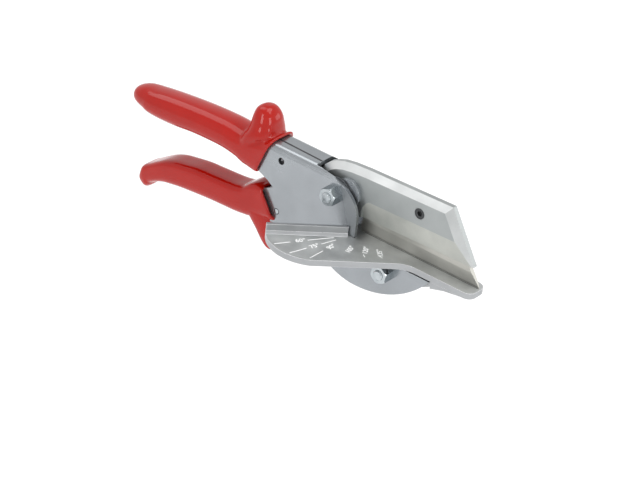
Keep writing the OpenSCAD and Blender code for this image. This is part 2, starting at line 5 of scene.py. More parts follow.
import bmesh
import bpy
import numpy as np
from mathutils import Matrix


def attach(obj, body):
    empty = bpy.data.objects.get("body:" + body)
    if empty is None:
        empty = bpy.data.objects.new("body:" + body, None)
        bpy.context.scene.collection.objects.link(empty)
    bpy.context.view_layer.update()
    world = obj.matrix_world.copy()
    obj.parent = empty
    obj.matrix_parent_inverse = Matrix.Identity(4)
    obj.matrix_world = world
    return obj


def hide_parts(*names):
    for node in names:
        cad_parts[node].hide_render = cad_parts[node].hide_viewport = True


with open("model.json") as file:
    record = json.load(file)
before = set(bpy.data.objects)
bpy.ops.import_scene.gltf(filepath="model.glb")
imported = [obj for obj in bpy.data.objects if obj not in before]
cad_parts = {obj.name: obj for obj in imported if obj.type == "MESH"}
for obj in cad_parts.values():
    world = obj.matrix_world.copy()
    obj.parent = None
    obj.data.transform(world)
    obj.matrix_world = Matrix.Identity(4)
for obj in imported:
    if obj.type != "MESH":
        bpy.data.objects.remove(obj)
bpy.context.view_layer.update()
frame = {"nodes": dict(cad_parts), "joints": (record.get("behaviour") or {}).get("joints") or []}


# Upper lever: one pressed steel sheet, bent to a channel whose two cheeks run down to the jaw.
# The press leaves small rounded edges and a coined band along the cheeks' front, painted darker as shade; the
# cheeks' forward edges carry a painted highlight, and a dark line painted along the back is the shade of a
# groove.
# The bright plating has soft clouds and fine brushing, and the inside of the channel is painted dark as
# shade.
def added(tree, kind, inputs=None, **settings):
    """A node of that kind in a shader tree; an input takes a value or another node's output."""
    node = tree.nodes.new(kind)
    for key, value in settings.items():
        setattr(node, key, value)
    for key, value in (inputs or {}).items():
        if isinstance(value, bpy.types.NodeSocket):
            tree.links.new(value, node.inputs[key])
        else:
            node.inputs[key].default_value = value
    return node


def effect(name, inputs, output):
    """An empty shader group with named inputs and one value as its output."""
    tree = bpy.data.node_groups.new(name, "ShaderNodeTree")
    for key, kind, value in inputs:
        tree.interface.new_socket(key, in_out="INPUT", socket_type=kind).default_value = value
    tree.interface.new_socket(output, in_out="OUTPUT", socket_type="NodeSocketFloat")
    return tree, tree.nodes.new("NodeGroupInput"), tree.nodes.new("NodeGroupOutput")


# Soft clouds of plating or polish, from 0 to 1
clouds, came, gone = effect("surface_clouds", [("Size", "NodeSocketFloat", 40.0)], "Cloud")
spot = added(clouds, "ShaderNodeTexCoord")
haze = added(clouds, "ShaderNodeTexNoise", {"Vector": spot.outputs["Object"], "Scale": came.outputs["Size"],
                                            "Detail": 4.0, "Roughness": 0.55})
spread = added(clouds, "ShaderNodeMapRange", {"Value": haze.outputs["Fac"], "From Min": 0.3, "From Max": 0.7})
clouds.links.new(spread.outputs["Result"], gone.inputs["Cloud"])

# Fine scratches drawn out along one direction, from 0 to 1
grain, came, gone = effect("drawn_grain", [("Stretch", "NodeSocketVector", (400.0, 8000.0, 8000.0))], "Grain")
spot = added(grain, "ShaderNodeTexCoord")
drawn = added(grain, "ShaderNodeVectorMath", {0: spot.outputs["Object"], 1: came.outputs["Stretch"]},
              operation="MULTIPLY")
lines = added(grain, "ShaderNodeTexNoise", {"Vector": drawn.outputs["Vector"], "Scale": 1.0, "Detail": 3.0})
grain.links.new(lines.outputs["Fac"], gone.inputs["Grain"])

# Where a rounded edge is rubbed bright, broken up by a little noise
wear, came, gone = effect("edge_wear", [("Amount", "NodeSocketFloat", 0.5)], "Mask")
edge = added(wear, "ShaderNodeAttribute", attribute_name="rounded")
spot = added(wear, "ShaderNodeTexCoord")
chips = added(wear, "ShaderNodeTexNoise", {"Vector": spot.outputs["Object"], "Scale": 600.0, "Detail": 3.0})
broken = added(wear, "ShaderNodeMath", {0: edge.outputs["Fac"], 1: chips.outputs["Fac"]},
               operation="MULTIPLY")
rubbed = added(wear, "ShaderNodeMath", {0: broken.outputs["Value"], 1: came.outputs["Amount"]},
               operation="MULTIPLY", use_clamp=True)
wear.links.new(rubbed.outputs["Value"], gone.inputs["Mask"])


def clouded(name, dark, light, smooth, rough, cloud_size):
    """A finish whose clouds mix two colours and two roughnesses. Its nodes cloud, tone and gloss are named,
    so that a further effect can join on to them."""
    finish = bpy.data.materials.new(name)
    finish.use_nodes = True
    tree = finish.node_tree
    shader = tree.nodes["Principled BSDF"]
    cloud = added(tree, "ShaderNodeGroup", {"Size": cloud_size}, node_tree=clouds, name="cloud")
    tone = added(tree, "ShaderNodeMix", {"Factor": cloud.outputs["Cloud"], "A": (*dark, 1), "B": (*light, 1)},
                 data_type="RGBA", name="tone")
    gloss = added(tree, "ShaderNodeMapRange", {"Value": cloud.outputs["Cloud"], "To Min": smooth,
                                               "To Max": rough}, name="gloss")
    tree.links.new(tone.outputs["Result"], shader.inputs["Base Color"])
    tree.links.new(gloss.outputs["Result"], shader.inputs["Roughness"])
    return finish


def bare_metal(name, dark, light, smooth, rough, stretch, cloud_size, depth, worn=0.5, metal=0.85):
    """A metal finish: clouds mix two colours, clouds times drawn grain mix two roughnesses, worn edges are
    a quarter lighter, and the grain gives the bump, depth metres high. With metal below 1 it is partly
    matt."""
    lighter, deepest = 1.25, 0.6
    finish = clouded(name, dark, light, smooth, rough, cloud_size)
    tree = finish.node_tree
    shader, cloud, tone, gloss = [tree.nodes[k] for k in ("Principled BSDF", "cloud", "tone", "gloss")]
    shader.inputs["Metallic"].default_value = metal
    lines = added(tree, "ShaderNodeGroup", {"Stretch": stretch}, node_tree=grain)
    rub = added(tree, "ShaderNodeGroup", {"Amount": worn}, node_tree=wear)
    bright = tuple(min(1.0, lighter * c) for c in light)
    edged = added(tree, "ShaderNodeMix", {"Factor": rub.outputs["Mask"], "A": tone.outputs["Result"],
                                          "B": (*bright, 1)}, data_type="RGBA")
    both = added(tree, "ShaderNodeMath", {0: cloud.outputs["Cloud"], 1: lines.outputs["Grain"]},
                 operation="MULTIPLY")
    bump = added(tree, "ShaderNodeBump", {"Height": lines.outputs["Grain"], "Distance": depth,
                                          "Strength": 0.5})
    gloss.inputs["From Max"].default_value = deepest
    tree.links.new(both.outputs["Value"], gloss.inputs["Value"])
    tree.links.new(edged.outputs["Result"], shader.inputs["Base Color"])
    tree.links.new(bump.outputs["Normal"], shader.inputs["Normal"])
    return finish


def settled(mesh, alike=50, power=3, least_share=1e-4):
    """Shades a rounded copy. At a corner of a face the normal is the sum of the normals of the faces that
    meet there and turn by less than alike degrees from it, each times its area to a power, so that a
    wide face stays flat and only the narrow strips beside it bend the light. Areas are shares of the
    widest face, plus the least share, so that no sum is empty."""
    total, corners = np.zeros(len(mesh.polygons), np.int32), np.zeros(len(mesh.loops), np.int32)
    normals, areas = np.zeros(3 * len(mesh.polygons)), np.zeros(len(mesh.polygons))
    mesh.polygons.foreach_get("loop_total", total)
    mesh.polygons.foreach_get("normal", normals)
    mesh.polygons.foreach_get("area", areas)
    mesh.loops.foreach_get("vertex_index", corners)
    normals = normals.reshape(-1, 3)
    # Corners are sorted by vertex, and each is paired with every corner at its own vertex.
    order = np.argsort(corners, kind="stable")
    face = np.repeat(np.arange(len(total)), total)[order]
    meet = np.bincount(corners)
    first = np.cumsum(meet) - meet
    each = meet[corners[order]]
    here = np.repeat(np.arange(len(order)), each)
    within = np.arange(len(here)) - np.repeat(np.cumsum(each) - each, each)
    there = np.repeat(first[corners[order]], each) + within
    near = (normals[face[here]] * normals[face[there]]).sum(1) > np.cos(np.radians(alike))
    weight = near * (areas[face[there]] / areas.max() + least_share)**power
    sums = np.stack([np.bincount(here, weight * normals[face[there], k], len(order)) for k in range(3)], -1)
    shaded = np.zeros_like(sums)
    shaded[order] = sums / np.linalg.norm(sums, axis=1, keepdims=True)
    mesh.normals_split_custom_set(shaded.tolist())


def placed(name, content):
    """A mesh, lamp or camera as an object of the scene, at the origin and unturned."""
    thing = bpy.data.objects.new(name, content)
    bpy.context.scene.collection.objects.link(thing)
    return thing


def softened(node, finish, body, width, steps=3, sharp=16.0, least=4.0, wide=1.2, rim=None):
    """A copy of a CAD node with its triangles merged to whole faces and its creases rounded by width
    millimetres. An edge is a crease if it turns by more than the sharp angle, or by more than the least
    angle between two faces that are both over wide millimetres, where a face is as wide as twice its
    area over its outline. The other edges only approximate a curve. The rounded strips are 1 in the
    attribute rounded, which edge wear reads, and take the rim's finish, if there is one. The copy
    stands for the node."""
    welded, level = 2e-6, np.radians(0.6)
    mesh = frame["nodes"][node].data.copy()
    mesh.name = node + "_rounded"
    work = bmesh.new()
    work.from_mesh(mesh)
    bmesh.ops.remove_doubles(work, verts=work.verts, dist=welded)
    bmesh.ops.dissolve_limit(work, angle_limit=level, verts=work.verts, edges=work.edges)
    turns = np.array([edge.calc_face_angle(0) for edge in work.edges])
    narrower = np.array([min(2 * f.calc_area() / f.calc_perimeter() for f in edge.link_faces)
                         for edge in work.edges])
    crease = (turns > np.radians(sharp)) | ((turns > np.radians(least)) & (narrower > wide / 1000))
    work.to_mesh(mesh)
    work.free()
    mesh.materials.clear()
    mesh.materials.append(finish)
    mesh.materials.append(rim or finish)
    mesh.polygons.foreach_set("use_smooth", np.ones(len(mesh.polygons), bool))
    weights = mesh.attributes.new("bevel_weight_edge", "FLOAT", "EDGE")
    weights.data.foreach_set("value", crease.astype(np.float32))
    piece = placed(node + "_rounded", mesh)
    rounding = piece.modifiers.new("rounding", "BEVEL")
    rounding.width = width / 1000
    rounding.segments = steps
    rounding.limit_method = "WEIGHT"
    rounding.material = 1
    done = bpy.data.meshes.new_from_object(piece.evaluated_get(bpy.context.evaluated_depsgraph_get()))
    piece.modifiers.clear()
    piece.data = done
    strips = np.zeros(len(done.polygons), np.int32)
    done.polygons.foreach_get("material_index", strips)
    done.attributes.new("rounded", "FLOAT", "FACE").data.foreach_set("value", strips.astype(np.float32))
    if not rim:
        done.polygons.foreach_set("material_index", 0 * strips)
        done.materials.pop()
    settled(done)
    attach(piece, body)
    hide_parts(node)
    return piece


pivot = np.array(frame["joints"][0]["pos_m"])


def second_finish(piece, finish, chosen):
    """Gives a further finish to the faces that chosen picks from the rows of all the faces' normals and
    middles, the middles in millimetres from the pivot."""
    mesh = piece.data
    normals, middles = np.zeros(3 * len(mesh.polygons)), np.zeros(3 * len(mesh.polygons))
    mesh.polygons.foreach_get("normal", normals)
    mesh.polygons.foreach_get("center", middles)
    picked = chosen(normals.reshape(-1, 3), (middles.reshape(-1, 3) - pivot) * 1000)
    finishes = np.zeros(len(mesh.polygons), np.int32)
    mesh.polygons.foreach_get("material_index", finishes)
    mesh.materials.append(finish)
    finishes[picked] = len(mesh.materials) - 1
    mesh.polygons.foreach_set("material_index", finishes)


def channel_inside(normal, middle):
    """The faces between the cheeks, behind the pivot and above the cheeks' lower edge, that look at the
    lever's middle plane or down. They take the dark finish as painted shade."""
    inner_half, lower_edge, downward = 6.3, -14, -0.5
    between = (np.abs(middle[:, 1]) < inner_half) & (middle[:, 0] < 0) & (middle[:, 2] > lower_edge)
    return between & ((normal[:, 1] * middle[:, 1] < 0) | (normal[:, 2] < downward))


def coined_band(normal, middle):
    """The faces along the cheeks' front that lean forward from the cheek by 2 to 10 degrees. They take a
    darker finish as painted shade.
    """
    most_lean, least_lean, forward, rear_end = 0.985, 0.9993, 0.03, -5
    sideways = np.abs(normal[:, 1])
    leaning = (sideways > most_lean) & (sideways < least_lean)
    return leaning & (normal[:, 0] > forward) & (middle[:, 0] > rear_end)


def front_strips(normal, middle):
    """The rounded strips on the cheeks' outer edges that look forward or up. They take a bright finish as a
    painted highlight.
    """
    outer_half, rear_end, edge_on, face_on = 7.6, -14, 0.2, 0.975
    sideways = np.abs(normal[:, 1])
    strip = (sideways > edge_on) & (sideways < face_on) & (normal[:, 0] + normal[:, 2] > 0)
    return strip & (middle[:, 0] > rear_end) & (np.abs(middle[:, 1]) > outer_half)


sheet_grain = (300.0, 5000.0, 5000.0)
plated = bare_metal("plated_sheet", dark=(0.30, 0.32, 0.337), light=(0.36, 0.382, 0.403),
                    smooth=0.18, rough=0.30, stretch=sheet_grain, cloud_size=45.0, depth=2e-6)
# Painted shade: a dark, dull sheet for the channel's inside, the back's groove line, the blade's slit and the
# spring pin's rim.
painted_shade = bare_metal("painted_shade_sheet", dark=(0.05, 0.05, 0.055), light=(0.09, 0.09, 0.095),
                  smooth=0.45, rough=0.6, stretch=sheet_grain, cloud_size=80.0, depth=4e-6)
# The coined band is rougher, and its darker tone is painted shade.
coined_shade = bare_metal("coined_sheet_shade", dark=(0.23, 0.245, 0.26), light=(0.29, 0.305, 0.32),
                    smooth=0.34, rough=0.46, stretch=sheet_grain, cloud_size=45.0, depth=2e-6)
# Painted highlight: a near-white finish on the cheeks' forward edge strips.
sheet_edge_highlight = bare_metal("sheet_edge_painted_highlight", dark=(0.72, 0.74, 0.76), light=(0.86, 0.88, 0.90),
                     smooth=0.20, rough=0.30, stretch=sheet_grain, cloud_size=90.0, depth=2e-6)
upper_frame = softened("upper_frame", plated, "anvil_lever", width=0.3)
second_finish(upper_frame, painted_shade, channel_inside)
second_finish(upper_frame, coined_shade, coined_band)
second_finish(upper_frame, sheet_edge_highlight, front_strips)


def at_pivot(points):
    """Millimetres from the pivot, as metres in the part's frame."""
    return pivot + np.asarray(points, float) / 1000


# An inlay's top stands this far above the face round it, so that the two don't flicker.
proud = 0.02
inlay_depth = 0.3


def inlaid(name, starts, ends, wide, finish, body):
    """Straight strips let into a level face, each from its start to its end on the strip's middle line.
    A strip is a box, wide across and as deep as an inlay downwards."""
    lift = np.array([0, 0, proud])
    starts, ends = np.asarray(starts, float) + lift, np.asarray(ends, float) + lift
    run = ends - starts
    across = np.stack([-run[:, 1], run[:, 0], 0 * run[:, 0]], -1)
    across *= np.asarray(wide, float)[:, None] / 2 / np.linalg.norm(across, axis=1, keepdims=True)
    upper_side = np.stack([starts - across, ends - across, ends + across, starts + across], 1)
    strips = np.concatenate([upper_side, upper_side - np.array([0, 0, inlay_depth])], 1)
    one = np.array([(0, 1, 2, 3), (7, 6, 5, 4), (0, 4, 5, 1), (1, 5, 6, 2), (2, 6, 7, 3), (3, 7, 4, 0)])
    faces = (one[None] + 8 * np.arange(len(strips))[:, None, None]).reshape(-1, 4)
    mesh = bpy.data.meshes.new(name)
    mesh.from_pydata(at_pivot(strips.reshape(-1, 3)).tolist(), [], faces.tolist())
    mesh.materials.append(finish)
    piece = placed(name, mesh)
    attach(piece, body)


# Painted shade: a flush dark strip along the back, in place of the shadow in a groove.
back_top = 9.0
groove_rear, groove_front, groove_wide = (-40.0, -1.2, back_top), (-13.2, -2.1, back_top), 1.1
inlaid("painted_groove_shade", [groove_rear], [groove_front], [groove_wide], painted_shade, "anvil_lever")


# Upper grip: soft red vinyl, dipped over the upper tang, with a thumb horn and a rolled mouth.
# It shrinks on when it cools, so it follows the tang with a smooth skin that ripples slightly.
def through(rows, per):
    """A smooth curve through rows of numbers: between two rows it is the cubic whose slope at each
    row is half the step from the row before to the row after. Gives per rows for each step."""
    rows = np.asarray(rows, float)
    p = np.vstack([2 * rows[0] - rows[1], rows, 2 * rows[-1] - rows[-2]])
    a, b, c, d = p[:-3, None], p[1:-2, None], p[2:-1, None], p[3:, None]
    t = np.linspace(0, 1, per, endpoint=False)[None, :, None]
    q = b + 0.5 * ((c - a) * t + (2 * a - 5 * b + 4 * c - d) * t**2 + (3 * b - a - 3 * c + d) * t**3)
    return np.vstack([q.reshape(-1, rows.shape[1]), rows[-1]])


def skin(name, shells, finish, body):
    """One smooth mesh of closed shells. Each shell is a grid of points, rings by points round each
    ring, whose first and last ring are closed by a fan to their middle."""
    points, quads, fans, start = [], [], [], 0
    for rings in shells:
        m, n, _ = rings.shape
        i, j = np.meshgrid(np.arange(m - 1), np.arange(n), indexing="ij")
        k = (j + 1) % n
        ring = np.arange(n)
        after = (ring + 1) % n
        last = (m - 1) * n
        between = np.stack([i * n + j, i * n + k, (i + 1) * n + k, (i + 1) * n + j], -1)
        points += [rings.reshape(-1, 3), rings[:1].mean(1), rings[-1:].mean(1)]
        quads += (start + between).reshape(-1, 4).tolist()
        fans += (start + np.stack([np.full(n, m * n), after, ring], -1)).tolist()
        fans += (start + np.stack([np.full(n, m * n + 1), last + ring, last + after], -1)).tolist()
        start += m * n + 2
    mesh = bpy.data.meshes.new(name)
    mesh.from_pydata(np.vstack(points).tolist(), [], quads + fans)
    mesh.polygons.foreach_set("use_smooth", np.ones(len(mesh.polygons), bool))
    mesh.materials.append(finish)
    work = bmesh.new()
    work.from_mesh(mesh)
    bmesh.ops.recalc_face_normals(work, faces=work.faces)
    work.to_mesh(mesh)
    work.free()
    piece = placed(name, mesh)
    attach(piece, body)
    return piece


def hoops(stations, square_top, square_low, per=9, around=144):
    """Rings of a dipped sleeve. Each station has the top and the bottom of its ring in x and z, and the
    half width w. Round its middle a ring is r(angle) = (|cos/w|^p + |sin/h|^p)^(-1/p), where p comes
    from pairs of a station's number and an exponent, for the upper and the lower half. The mouth rolls
    in at the end: a quarter-round lip, the flat of the wall, and the inner side one wall inside."""
    lip, wall, flat, thinnest = 0.9, 1.9, 0.5, 0.2
    s = through(stations, per)
    top, low, wide = s[:, 0:2], s[:, 2:4], np.maximum(s[:, 4:5], thinnest)
    half = np.linalg.norm(top - low, axis=1, keepdims=True) / 2
    up = (top - low) / (2 * half)
    angle = np.linspace(0, 2 * np.pi, around, endpoint=False)[None, :]
    c, q = np.cos(angle), np.sin(angle)
    number = np.linspace(0, len(stations) - 1, len(s))[:, None]
    p = np.where(q > 0, np.interp(number, *zip(*square_top)), np.interp(number, *zip(*square_low)))
    r = ((np.abs(c) / wide)**p + (np.abs(q) / half)**p)**(-1 / p)
    roll = np.radians(np.array([15, 30, 45, 60, 75, 90]))
    out = np.concatenate([lip * np.sin(roll), [lip, lip - flat]])
    inset = np.concatenate([lip * (1 - np.cos(roll)), [wall - flat, wall]])
    forward = np.array([up[-1, 1], -up[-1, 0]])
    middle = (top + low) / 2
    # The inner side goes back along the last two stations, two rings to each.
    inner = slice(-3, -2 * per, -per // 2)
    r = np.vstack([r, r[-1] - inset[:, None], r[inner] - wall])
    middle = np.vstack([middle, middle[-1] + out[:, None] * forward, middle[inner]])
    up = np.vstack([up, np.repeat(up[-1:], len(out), 0), up[inner]])
    x = middle[:, :1] + r * q * up[:, :1]
    z = middle[:, 1:] + r * q * up[:, 1:]
    return at_pivot(np.stack([x, r * c, z], -1))


def upright(levels, square, per=8, around=96):
    """Level rings of a horn or a guard. Each level has its height, its rear and its front in x, and its
    half width in y. A ring is |x/a|^p + |y/b|^p = 1 about its middle, where p comes from pairs of a
    level's number and an exponent."""
    s = through(levels, per)
    height, rear, front, half_y = s[:, 0:1], s[:, 1:2], s[:, 2:3], s[:, 3:4]
    square = np.interp(np.linspace(0, len(levels) - 1, len(s))[:, None], *zip(*square))
    t = np.linspace(0, 2 * np.pi, around, endpoint=False)[None, :]
    c, q = np.cos(t), np.sin(t)
    x = (rear + front) / 2 + (front - rear) / 2 * np.sign(c) * np.abs(c)**(2 / square)
    y = half_y * np.sign(q) * np.abs(q)**(2 / square)
    return at_pivot(np.stack([x, y, np.repeat(height, around, 1)], -1))


def dipped(piece, passes, grid=0.45):
    """Runs the shells of a piece together, as a thick dip does: a grid of cubes, grid millimetres wide,
    gives one skin round them all, which is then smoothed in passes."""
    merged = piece.modifiers.new("merged", "REMESH")
    merged.mode = "VOXEL"
    merged.voxel_size = grid / 1000
    merged.use_smooth_shade = True
    flowed = piece.modifiers.new("flowed", "SMOOTH")
    flowed.factor = 0.5
    flowed.iterations = passes


red = clouded("dipped_vinyl", dark=(0.34, 0.0048, 0.001), light=(0.38, 0.0065, 0.002),
              smooth=0.06, rough=0.10, cloud_size=70.0)
tree = red.node_tree
vinyl = tree.nodes["Principled BSDF"]
vinyl.inputs["IOR"].default_value = 1.43
place = added(tree, "ShaderNodeTexCoord")
ripple = added(tree, "ShaderNodeTexNoise", {"Vector": place.outputs["Object"], "Scale": 260.0, "Detail": 2.0})
bump = added(tree, "ShaderNodeBump", {"Height": ripple.outputs["Fac"], "Distance": 2e-5, "Strength": 0.25})
tree.links.new(bump.outputs["Normal"], vinyl.inputs["Normal"])

# Top x and z, bottom x and z, and half width
upper_stations = [
    (-127.1, -1.8, -127.0, -2.6, 0.4), (-126.6, 0.3, -126.4, -4.5, 3.2), (-125.3, 1.6, -125.0, -5.6, 5.2),
    (-123.4, 2.6, -122.9, -6.3, 6.5), (-120.9, 3.4, -120.5, -6.9, 7.4), (-118.0, 3.9, -117.8, -7.5, 8.0),
    (-114.5, 4.3, -114.4, -8.3, 8.8), (-107.0, 5.3, -107.0, -8.6, 9.3), (-97.0, 6.4, -97.0, -8.2, 9.5),
    (-86.0, 7.3, -86.0, -7.0, 9.6), (-76.0, 7.8, -76.3, -6.6, 9.7), (-67.5, 7.9, -68.2, -6.6, 9.8),
    (-61.6, 7.5, -62.6, -7.1, 10.0), (-57.0, 7.2, -58.4, -7.9, 10.1), (-52.4, 8.0, -54.5, -9.0, 10.2),
    (-47.6, 8.8, -51.2, -9.1, 10.2), (-43.4, 9.5, -49.4, -9.0, 10.2), (-40.5, 10.3, -47.2, -9.0, 10.3),
    (-38.5, 11.3, -45.7, -8.8, 10.6)]
# How square a ring is, above and below: a station's number and the exponent there
upper_square_top = [(0, 2.2), (12, 2.2), (18, 3.2)]
upper_square_low = [(0, 2.3), (13, 2.5), (15, 3.4), (18, 5.5)]
# Height, rear and front in x, and half width
thumb_horn = [
    (-3.0, -59.0, -50.5, 9.0), (0.5, -58.8, -49.5, 9.6), (4.0, -58.3, -48.0, 9.9),
    (6.0, -57.6, -45.4, 10.0), (7.6, -56.8, -43.3, 10.0), (9.0, -56.0, -40.7, 9.8),
    (12.0, -54.9, -40.6, 8.9), (14.5, -54.5, -41.1, 8.1), (17.0, -54.2, -41.6, 7.4),
    (19.2, -53.8, -42.6, 6.5), (20.9, -53.0, -44.0, 5.5), (22.1, -51.6, -45.3, 4.0),
    (22.8, -50.3, -46.5, 1.7)]
horn_square = [(0, 2.4), (8, 2.35), (12, 2.2)]
upper_sleeve = hoops(upper_stations, upper_square_top, upper_square_low)
upper_grip = skin("upper_grip_sleeve", [upper_sleeve, upright(thumb_horn, horn_square)], red,
                  "anvil_lever")
dipped(upper_grip, passes=16)
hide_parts("upper_grip")


# Closing buffer: a block of black rubber, moulded with soft corners.
# It sits in the channel's mouth, and the lower lever closes on it.
rubber = clouded("black_rubber_block", dark=(0.010, 0.010, 0.011), light=(0.022, 0.022, 0.024),
                 smooth=0.45, rough=0.65, cloud_size=300.0)
softened("closing_buffer", rubber, "anvil_lever", width=0.4)


# Mitre anvil: a light alloy casting, planed on its table, whose top is also painted lighter as light from
# above, and whose rounded cast edges are painted bright as a highlight.
# A bolt and a dowel hold its web between the cheeks.
# Angle lines and figures are cut into the wing and filled with a pale paint.
casting_grain = (900.0, 4000.0, 4000.0)
cast = bare_metal("cast_alloy", dark=(0.34, 0.35, 0.36), light=(0.43, 0.44, 0.45),
                  smooth=0.32, rough=0.46, stretch=casting_grain, cloud_size=55.0, depth=4e-6)
# Partly painted light: the table's top is lighter for its planed finish and also as light falling from above.
planed_and_lit = bare_metal("cast_alloy_planed_and_lit", dark=(0.37, 0.383, 0.383), light=(0.60, 0.615, 0.61),
                    smooth=0.38, rough=0.52, stretch=casting_grain, cloud_size=60.0, depth=4e-6)
# Painted highlight: a near-white finish on all the anvil's rounded edge strips.
cast_edge_highlight = bare_metal("cast_alloy_edge_painted_highlight", dark=(0.74, 0.75, 0.76), light=(0.90, 0.91, 0.92),
                      smooth=0.26, rough=0.40, stretch=casting_grain, cloud_size=300.0, depth=2e-6)
table_top = -16.9
mitre_anvil = softened("mitre_anvil", cast, "anvil_lever", width=0.3, rim=cast_edge_highlight)


def table_faces(normal, middle):
    """The level faces at the table's height. They take a lighter finish, partly the planed metal and partly
    painted light from above.
    """
    level, near = 0.99, 0.4
    return (normal[:, 2] > level) & (np.abs(middle[:, 2] - table_top) < near)


second_finish(mitre_anvil, planed_and_lit, table_faces)
paint = clouded("pale_scale_paint", dark=(0.80, 0.81, 0.81), light=(0.96, 0.96, 0.96),
                smooth=0.4, rough=0.6, cloud_size=900.0)

# Each line: its angle, its start and end from the scale's middle, and its width
scale_middle = np.array([11.8, -8.1])
scale_lines = np.array([(120, 8.2, 20.6, 0.38), (120, 29.4, 36.8, 0.38), (105, 8.2, 16.1, 0.38),
                        (105, 24.7, 33.8, 0.38), (90, 20.1, 29.0, 0.38), (31, 16.4, 18.6, 0.36),
                        (11, 20.0, 22.2, 0.36)])
turn = -np.radians(scale_lines[:, 0])
run = np.stack([np.cos(turn), np.sin(turn)], -1)
tops = np.full((len(run), 1), table_top)
starts = np.hstack([scale_middle + run * scale_lines[:, 1:2], tops])
ends = np.hstack([scale_middle + run * scale_lines[:, 2:3], tops])
inlaid("scale_lines", starts, ends, scale_lines[:, 3], paint, "anvil_lever")

# The blade's edge drops into a narrow slit in the table; a thin dark strip laid on the table is its painted
# shade.
slit_rear, slit_front, slit_wide = (14.5, -0.4, table_top), (78.0, -0.4, table_top), 0.28
inlaid("painted_slit_shade", [slit_rear], [slit_front], [slit_wide], painted_shade, "anvil_lever")

# Figures: words, the middle on the table, the direction that they read in, and their height
figures = [("60", (-0.6, -28.7), 60, 2.6), ("75", (6.7, -27.6), 75, 2.6),
           ("90", (12.1, -22.3), 90, 2.6), ("105", (19.1, -17.5), 105, 2.4),
           ("120", (24.4, -12.7), 120, 2.4), ("135", (30.2, -9.7), 135, 2.4)]
size_over_height, stroke_gain, half_thick = 1.4, 0.05, 0.03
for words, spot, reads, tall in figures:
    letters = bpy.data.curves.new("figures_" + words, "FONT")
    letters.body = words + "\u00b0"
    letters.offset = stroke_gain
    letters.size = tall * size_over_height
    letters.align_x = "CENTER"
    letters.align_y = "CENTER"
    letters.extrude = half_thick
    holder = placed("figures_" + words, letters)
    mesh = bpy.data.meshes.new_from_object(holder.evaluated_get(bpy.context.evaluated_depsgraph_get()))
    bpy.data.objects.remove(holder)
    points = np.zeros(3 * len(mesh.vertices))
    mesh.vertices.foreach_get("co", points)
    points = points.reshape(-1, 3)
    c, q = np.cos(np.radians(reads)), np.sin(np.radians(reads))
    flat = points[:, :2] @ np.array([[c, q], [-q, c]]) + np.array(spot)
    place = at_pivot(np.column_stack([flat, table_top + proud + points[:, 2]]))
    mesh.vertices.foreach_set("co", place.ravel())
    mesh.materials.clear()
    mesh.materials.append(paint)
    label = placed("figures_" + words, mesh)
    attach(label, "anvil_lever")


# Bolts, nuts, dowel, washers, rivets and pin: bright zinc on turned steel, with chamfered corners.
# The bolts have their heads on the far side and their nuts on the near cheek. The washers run between
# the cheeks and the lower lever, painted dark as their shade, and the spring pin's rim is painted dark as the
# shade of its hole.
turned_grain = (3000.0, 3000.0, 3000.0)
zinc = bare_metal("bright_zinc", dark=(0.36, 0.40, 0.42), light=(0.52, 0.56, 0.58),
                  smooth=0.08, rough=0.18, stretch=turned_grain, cloud_size=160.0, depth=2e-6, metal=1.0)
gap_shaded_zinc = bare_metal("gap_shaded_zinc", dark=(0.07, 0.075, 0.08), light=(0.12, 0.125, 0.13),
                        smooth=0.2, rough=0.35, stretch=turned_grain, cloud_size=160.0, depth=2e-6)
for name in ("anvil_bolt", "anvil_nut", "pivot_bolt", "pivot_nut", "anvil_dowel"):
    softened(name, zinc, "anvil_lever", width=0.12)
# Painted shade: the washers' dark zinc stands for the shade of the narrow gap they sit in.
softened("thrust_washers", gap_shaded_zinc, "anvil_lever", width=0.12)
softened("carrier_rivets", zinc, "blade_lever", width=0.15)
# Painted shade: the pin's rounded rim takes the dark finish as the shade of its hole.
softened("spring_pin", zinc, "blade_lever", width=0.35, rim=painted_shade)


# Pivot bush: a sleeve of hardened steel, ground round to a fine finish.
# The pivot bolt clamps it between the cheeks, and the lower lever and the carrier turn on it.
bush = bare_metal("ground_bush", dark=(0.34, 0.34, 0.35), light=(0.42, 0.42, 0.43),
                  smooth=0.2, rough=0.3, stretch=(500.0, 9000.0, 500.0), cloud_size=120.0, depth=1e-6)
softened("pivot_bush", bush, "anvil_lever", width=0.15, steps=2)


# Lower lever: a channel pressed from the same plated sheet, narrow enough to run between the cheeks.
# It turns on the bush, and its two round noses hold the blade carrier between them.
softened("lower_frame", plated, "blade_lever", width=0.15)


